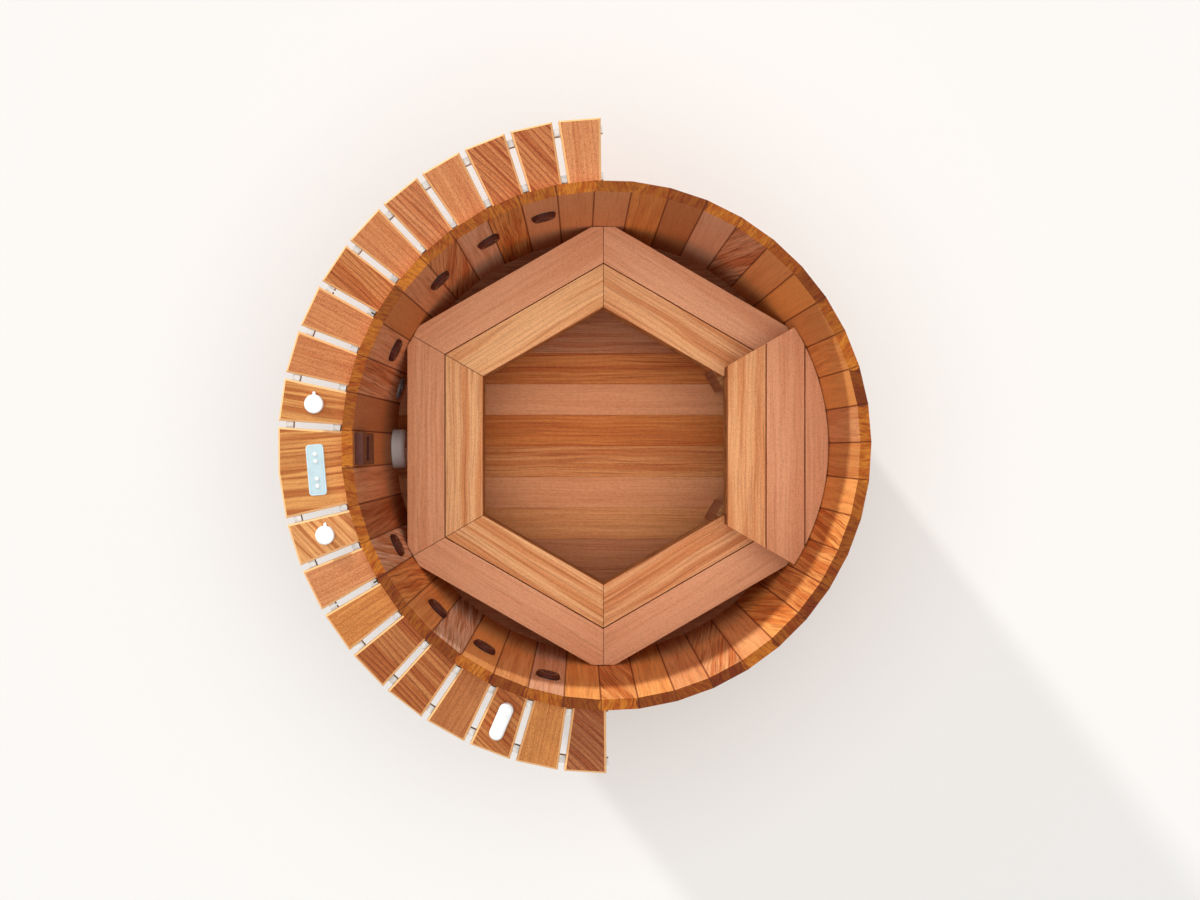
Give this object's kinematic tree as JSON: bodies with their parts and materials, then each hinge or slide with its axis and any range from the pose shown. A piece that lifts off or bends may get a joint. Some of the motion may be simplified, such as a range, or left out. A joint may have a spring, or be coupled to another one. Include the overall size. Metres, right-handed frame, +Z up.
{
  "type": "wooden hot tub",
  "caption": "Round coopered cedar hot tub with steel hoops, a bench and raised seat inside, turning jets, a skimmer and a slatted outer shelf with knobs, a lever and a button panel.",
  "frame": {"origin": "on the tub's axis at the ground, under the middle floor joist", "axes": "+Z up along the tub's axis, +X from the axis towards the raised seat, -X towards the skimmer and the shelf's controls"},
  "size_m": [2.078, 2.2836, 1.194],
  "materials": {
    "stave_cedar": "satin",
    "floor_cedar": "satin",
    "bench_red_cedar": "satin",
    "bench_gold_cedar": "satin",
    "frame_cedar": "satin",
    "slat_cedar": "satin",
    "hoop_steel": "brushed",
    "bolt_steel": "brushed",
    "rail_aluminium": "satin",
    "brown_plastic": "matte",
    "white_plastic": "gloss",
    "grey_plastic": "matte",
    "panel_film": "satin",
    "black_plastic": "matte",
    "seal_rubber": "matte"
  },
  "bodies": {
    "tub": {"floor_joists": "frame_cedar", "floor_boards": "floor_cedar", "staves": "stave_cedar", "jet_staves": "stave_cedar", "skimmer_stave": "stave_cedar", "drain_stave": "stave_cedar", "hoops": "hoop_steel", "hoop_lugs": "hoop_steel", "hoop_rods": "bolt_steel", "hoop_nuts": "bolt_steel", "bench_outer_boards": "bench_red_cedar", "bench_inner_boards": "bench_gold_cedar", "bench_aprons": "frame_cedar", "bench_bearers": "frame_cedar", "bench_battens": "frame_cedar", "bench_legs": "frame_cedar", "seat_boards": "bench_red_cedar", "seat_apron": "frame_cedar", "seat_risers": "frame_cedar", "seat_joists": "frame_cedar", "shelf_slats": "slat_cedar", "valve_slats": "slat_cedar", "lever_slat": "slat_cedar", "control_block": "slat_cedar", "shelf_frame_a": "rail_aluminium", "shelf_frame_b": "rail_aluminium", "shelf_frame_c": "rail_aluminium", "shelf_brackets": "rail_aluminium", "bracket_bolts": "bolt_steel", "panel_housing": "white_plastic", "panel_overlay": "panel_film", "air_valves": "black_plastic", "diverter_valve": "black_plastic", "jet_fittings": "brown_plastic", "jet_gaskets": "seal_rubber", "jet_nuts": "brown_plastic", "skimmer_housing": "brown_plastic", "suction_cover": "white_plastic", "suction_fitting": "grey_plastic", "drain_fitting": "grey_plastic", "water_pipes": "black_plastic", "air_pipes": "black_plastic", "pipe_unions": "grey_plastic"},
    "jet_1": {"jet_face_1": "brown_plastic"},
    "jet_2": {"jet_face_2": "brown_plastic"},
    "jet_3": {"jet_face_3": "brown_plastic"},
    "jet_4": {"jet_face_4": "brown_plastic"},
    "jet_5": {"jet_face_5": "brown_plastic"},
    "jet_6": {"jet_face_6": "brown_plastic"},
    "jet_7": {"jet_face_7": "brown_plastic"},
    "jet_8": {"jet_face_8": "brown_plastic"},
    "knob_a": {"air_knob_a": "white_plastic"},
    "knob_b": {"air_knob_b": "white_plastic"},
    "lever": {"diverter_lever": "white_plastic"},
    "flap": {"skimmer_flap": "brown_plastic"},
    "button_1": {"panel_button_1": "white_plastic"},
    "button_2": {"panel_button_2": "white_plastic"},
    "button_3": {"panel_button_3": "white_plastic"},
    "button_4": {"panel_button_4": "white_plastic"}
  },
  "joints": [
    {"name": "jet_turn_1", "type": "hinge", "parent": "tub", "child": "jet_1", "pos_m": [-0.22535, 0.83519, 0.904], "axis": [0.2605, -0.9655, 0], "range_deg": [0, 90]},
    {"name": "jet_turn_2", "type": "hinge", "parent": "tub", "child": "jet_2", "pos_m": [-0.4286, 0.75142, 0.869], "axis": [0.4955, -0.8686, 0], "range_deg": [0, 90]},
    {"name": "jet_turn_3", "type": "hinge", "parent": "tub", "child": "jet_3", "pos_m": [-0.61169, 0.61169, 0.832], "axis": [0.7071, -0.7071, 0], "range_deg": [0, 90]},
    {"name": "jet_turn_4", "type": "hinge", "parent": "tub", "child": "jet_4", "pos_m": [-0.78717, 0.35874, 0.759], "axis": [0.91, -0.4147, 0], "range_deg": [0, 90]},
    {"name": "jet_turn_5", "type": "hinge", "parent": "tub", "child": "jet_5", "pos_m": [-0.78014, -0.37378, 0.759], "axis": [0.9018, 0.4321, 0], "range_deg": [0, 90]},
    {"name": "jet_turn_6", "type": "hinge", "parent": "tub", "child": "jet_6", "pos_m": [-0.62017, -0.60309, 0.832], "axis": [0.7169, 0.6972, 0], "range_deg": [0, 90]},
    {"name": "jet_turn_7", "type": "hinge", "parent": "tub", "child": "jet_7", "pos_m": [-0.44424, -0.74228, 0.869], "axis": [0.5135, 0.8581, 0], "range_deg": [0, 90]},
    {"name": "jet_turn_8", "type": "hinge", "parent": "tub", "child": "jet_8", "pos_m": [-0.20928, -0.83936, 0.904], "axis": [0.2419, 0.9703, 0], "range_deg": [0, 90]},
    {"name": "knob_turn_a", "type": "hinge", "parent": "tub", "child": "knob_a", "pos_m": [-1.01287, 0.14364, 1.154], "axis": [0, 0, 1], "range_deg": [-90, 90]},
    {"name": "knob_turn_b", "type": "hinge", "parent": "tub", "child": "knob_b", "pos_m": [-0.97488, -0.31005, 1.154], "axis": [0, 0, 1], "range_deg": [-90, 90]},
    {"name": "lever_turn", "type": "hinge", "parent": "tub", "child": "lever", "pos_m": [-0.34862, -0.91593, 1.154], "axis": [0, 0, 1], "range_deg": [-90, 90]},
    {"name": "flap_swing", "type": "hinge", "parent": "tub", "child": "flap", "pos_m": [-0.87999, -0.01152, 1.018], "axis": [0.0131, -0.9999, 0], "range_deg": [0, 75], "stiffness_Nm_per_rad": 0.01, "springref_deg": -17.19},
    {"name": "button_press_1", "type": "slide", "parent": "tub", "child": "button_1", "axis": [0, 0, -1], "range_m": [0, 0.0006], "stiffness_N_per_m": 200, "springref_m": -0.002},
    {"name": "button_press_2", "type": "slide", "parent": "tub", "child": "button_2", "axis": [0, 0, -1], "range_m": [0, 0.0006], "stiffness_N_per_m": 200, "springref_m": -0.002},
    {"name": "button_press_3", "type": "slide", "parent": "tub", "child": "button_3", "axis": [0, 0, -1], "range_m": [0, 0.0006], "stiffness_N_per_m": 200, "springref_m": -0.002},
    {"name": "button_press_4", "type": "slide", "parent": "tub", "child": "button_4", "axis": [0, 0, -1], "range_m": [0, 0.0006], "stiffness_N_per_m": 200, "springref_m": -0.002}
  ]
}
